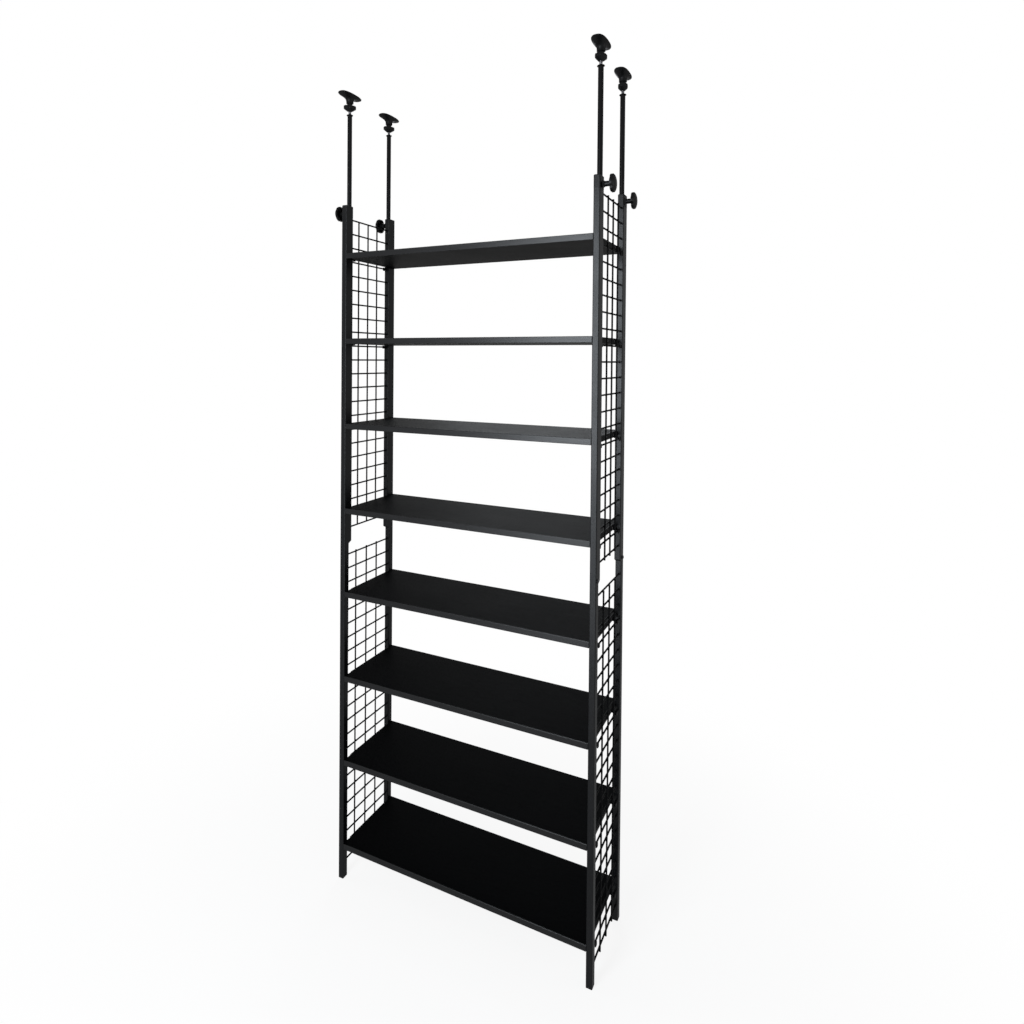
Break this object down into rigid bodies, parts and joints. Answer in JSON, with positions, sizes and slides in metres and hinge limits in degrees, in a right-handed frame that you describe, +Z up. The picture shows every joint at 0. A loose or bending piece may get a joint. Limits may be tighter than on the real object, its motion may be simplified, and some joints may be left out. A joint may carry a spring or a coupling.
{
  "type": "tension pole shelf unit",
  "caption": "Tall open shelf unit with wire-mesh side frames, hook-on boards and clamped telescopic poles that press pads against the ceiling.",
  "frame": {"origin": "on the floor, under the middle of the footprint", "axes": "+X to the right seen from the front, +Y to the back, +Z up"},
  "size_m": [0.8018, 0.292, 2.2274],
  "materials": {
    "post_coating": "black semi-matt powder coating",
    "mesh_coating": "black semi-matt powder coating on wire",
    "pole_coating": "black satin enamel",
    "rail_coating": "black powder coating",
    "board_laminate": "matt black laminate on particle board",
    "moulded_plastic": "fine-grained black moulding",
    "zinc_steel": "black-zinc plated steel",
    "bolt_steel": "blackened steel"
  },
  "bodies": {
    "frame": {"lower_post_left_front": "post_coating", "lower_post_left_back": "post_coating", "lower_post_right_front": "post_coating", "lower_post_right_back": "post_coating", "upper_post_left_front": "post_coating", "upper_post_left_back": "post_coating", "upper_post_right_front": "post_coating", "upper_post_right_back": "post_coating", "feet": "moulded_plastic", "joint_bolts": "bolt_steel", "pole_guides": "moulded_plastic", "clamp_nuts": "zinc_steel", "lower_mesh_left": "mesh_coating", "lower_mesh_right": "mesh_coating", "upper_mesh_left": "mesh_coating", "upper_mesh_right": "mesh_coating"},
    "shelf_1": {"shelf_1_board": "board_laminate", "shelf_1_hook_rails": "rail_coating"},
    "shelf_2": {"shelf_2_board": "board_laminate", "shelf_2_hook_rails": "rail_coating"},
    "shelf_3": {"shelf_3_board": "board_laminate", "shelf_3_hook_rails": "rail_coating"},
    "shelf_4": {"shelf_4_board": "board_laminate", "shelf_4_hook_rails": "rail_coating"},
    "shelf_5": {"shelf_5_board": "board_laminate", "shelf_5_hook_rails": "rail_coating"},
    "shelf_6": {"shelf_6_board": "board_laminate", "shelf_6_hook_rails": "rail_coating"},
    "shelf_7": {"shelf_7_board": "board_laminate", "shelf_7_hook_rails": "rail_coating"},
    "shelf_8": {"shelf_8_board": "board_laminate", "shelf_8_hook_rails": "rail_coating"},
    "pole_left_front": {"pole_left_front": "pole_coating", "pole_bush_left_front": "moulded_plastic"},
    "pad_left_front": {"ceiling_pad_left_front": "moulded_plastic"},
    "adjuster_left_front": {"adjuster_wheel_left_front": "moulded_plastic", "threaded_rod_left_front": "zinc_steel"},
    "clamp_left_front": {"clamp_screw_left_front": "zinc_steel"},
    "knob_left_front": {"clamp_knob_left_front": "moulded_plastic"},
    "pole_left_back": {"pole_left_back": "pole_coating", "pole_bush_left_back": "moulded_plastic"},
    "pad_left_back": {"ceiling_pad_left_back": "moulded_plastic"},
    "adjuster_left_back": {"adjuster_wheel_left_back": "moulded_plastic", "threaded_rod_left_back": "zinc_steel"},
    "clamp_left_back": {"clamp_screw_left_back": "zinc_steel"},
    "knob_left_back": {"clamp_knob_left_back": "moulded_plastic"},
    "pole_right_front": {"pole_right_front": "pole_coating", "pole_bush_right_front": "moulded_plastic"},
    "pad_right_front": {"ceiling_pad_right_front": "moulded_plastic"},
    "adjuster_right_front": {"adjuster_wheel_right_front": "moulded_plastic", "threaded_rod_right_front": "zinc_steel"},
    "clamp_right_front": {"clamp_screw_right_front": "zinc_steel"},
    "knob_right_front": {"clamp_knob_right_front": "moulded_plastic"},
    "pole_right_back": {"pole_right_back": "pole_coating", "pole_bush_right_back": "moulded_plastic"},
    "pad_right_back": {"ceiling_pad_right_back": "moulded_plastic"},
    "adjuster_right_back": {"adjuster_wheel_right_back": "moulded_plastic", "threaded_rod_right_back": "zinc_steel"},
    "clamp_right_back": {"clamp_screw_right_back": "zinc_steel"},
    "knob_right_back": {"clamp_knob_right_back": "moulded_plastic"}
  },
  "joints": [
    {"name": "shelf_1_lift", "type": "slide", "parent": "frame", "child": "shelf_1", "axis": [0, 0, 1], "range_m": [0, 0.03]},
    {"name": "shelf_2_lift", "type": "slide", "parent": "frame", "child": "shelf_2", "axis": [0, 0, 1], "range_m": [0, 0.03]},
    {"name": "shelf_3_lift", "type": "slide", "parent": "frame", "child": "shelf_3", "axis": [0, 0, 1], "range_m": [0, 0.03]},
    {"name": "shelf_4_lift", "type": "slide", "parent": "frame", "child": "shelf_4", "axis": [0, 0, 1], "range_m": [0, 0.03]},
    {"name": "shelf_5_lift", "type": "slide", "parent": "frame", "child": "shelf_5", "axis": [0, 0, 1], "range_m": [0, 0.03]},
    {"name": "shelf_6_lift", "type": "slide", "parent": "frame", "child": "shelf_6", "axis": [0, 0, 1], "range_m": [0, 0.03]},
    {"name": "shelf_7_lift", "type": "slide", "parent": "frame", "child": "shelf_7", "axis": [0, 0, 1], "range_m": [0, 0.03]},
    {"name": "shelf_8_lift", "type": "slide", "parent": "frame", "child": "shelf_8", "axis": [0, 0, 1], "range_m": [0, 0.03]},
    {"name": "pole_left_front_slide", "type": "slide", "parent": "frame", "child": "pole_left_front", "axis": [0, 0, 1], "range_m": [-0.25, 0.24]},
    {"name": "pad_left_front_lift", "type": "slide", "parent": "pole_left_front", "child": "pad_left_front", "axis": [0, 0, 1], "range_m": [-0.005, 0.02]},
    {"name": "adjuster_left_front_turn", "type": "hinge", "parent": "pad_left_front", "child": "adjuster_left_front", "pos_m": [-0.362, -0.101, 2.2037], "axis": [0, 0, 1], "range_deg": [-1441, 5761]},
    {"name": "clamp_left_front_screw", "type": "slide", "parent": "frame", "child": "clamp_left_front", "axis": [-1, 0, 0], "range_m": [0, 0.005]},
    {"name": "knob_left_front_turn", "type": "hinge", "parent": "clamp_left_front", "child": "knob_left_front", "pos_m": [-0.3894, -0.101, 1.894], "axis": [-1, 0, 0], "range_deg": [0, 1441]},
    {"name": "pole_left_back_slide", "type": "slide", "parent": "frame", "child": "pole_left_back", "axis": [0, 0, 1], "range_m": [-0.25, 0.24]},
    {"name": "pad_left_back_lift", "type": "slide", "parent": "pole_left_back", "child": "pad_left_back", "axis": [0, 0, 1], "range_m": [-0.005, 0.02]},
    {"name": "adjuster_left_back_turn", "type": "hinge", "parent": "pad_left_back", "child": "adjuster_left_back", "pos_m": [-0.362, 0.101, 2.2037], "axis": [0, 0, 1], "range_deg": [-1441, 5761]},
    {"name": "clamp_left_back_screw", "type": "slide", "parent": "frame", "child": "clamp_left_back", "axis": [-1, 0, 0], "range_m": [0, 0.005]},
    {"name": "knob_left_back_turn", "type": "hinge", "parent": "clamp_left_back", "child": "knob_left_back", "pos_m": [-0.3894, 0.101, 1.894], "axis": [-1, 0, 0], "range_deg": [0, 1441]},
    {"name": "pole_right_front_slide", "type": "slide", "parent": "frame", "child": "pole_right_front", "axis": [0, 0, 1], "range_m": [-0.25, 0.24]},
    {"name": "pad_right_front_lift", "type": "slide", "parent": "pole_right_front", "child": "pad_right_front", "axis": [0, 0, 1], "range_m": [-0.005, 0.02]},
    {"name": "adjuster_right_front_turn", "type": "hinge", "parent": "pad_right_front", "child": "adjuster_right_front", "pos_m": [0.362, -0.101, 2.2037], "axis": [0, 0, 1], "range_deg": [-1441, 5761]},
    {"name": "clamp_right_front_screw", "type": "slide", "parent": "frame", "child": "clamp_right_front", "axis": [1, 0, 0], "range_m": [0, 0.005]},
    {"name": "knob_right_front_turn", "type": "hinge", "parent": "clamp_right_front", "child": "knob_right_front", "pos_m": [0.3894, -0.101, 1.894], "axis": [1, 0, 0], "range_deg": [0, 1441]},
    {"name": "pole_right_back_slide", "type": "slide", "parent": "frame", "child": "pole_right_back", "axis": [0, 0, 1], "range_m": [-0.25, 0.24]},
    {"name": "pad_right_back_lift", "type": "slide", "parent": "pole_right_back", "child": "pad_right_back", "axis": [0, 0, 1], "range_m": [-0.005, 0.02]},
    {"name": "adjuster_right_back_turn", "type": "hinge", "parent": "pad_right_back", "child": "adjuster_right_back", "pos_m": [0.362, 0.101, 2.2037], "axis": [0, 0, 1], "range_deg": [-1441, 5761]},
    {"name": "clamp_right_back_screw", "type": "slide", "parent": "frame", "child": "clamp_right_back", "axis": [1, 0, 0], "range_m": [0, 0.005]},
    {"name": "knob_right_back_turn", "type": "hinge", "parent": "clamp_right_back", "child": "knob_right_back", "pos_m": [0.3894, 0.101, 1.894], "axis": [1, 0, 0], "range_deg": [0, 1441]}
  ],
  "couplings": [
    {"joint": "adjuster_left_front_turn", "follows": "pad_left_front_lift", "rad_per_m": 5026.5},
    {"joint": "knob_left_front_turn", "follows": "clamp_left_front_screw", "rad_per_m": 5026.5},
    {"joint": "adjuster_left_back_turn", "follows": "pad_left_back_lift", "rad_per_m": 5026.5},
    {"joint": "knob_left_back_turn", "follows": "clamp_left_back_screw", "rad_per_m": 5026.5},
    {"joint": "adjuster_right_front_turn", "follows": "pad_right_front_lift", "rad_per_m": 5026.5},
    {"joint": "knob_right_front_turn", "follows": "clamp_right_front_screw", "rad_per_m": 5026.5},
    {"joint": "adjuster_right_back_turn", "follows": "pad_right_back_lift", "rad_per_m": 5026.5},
    {"joint": "knob_right_back_turn", "follows": "clamp_right_back_screw", "rad_per_m": 5026.5}
  ]
}
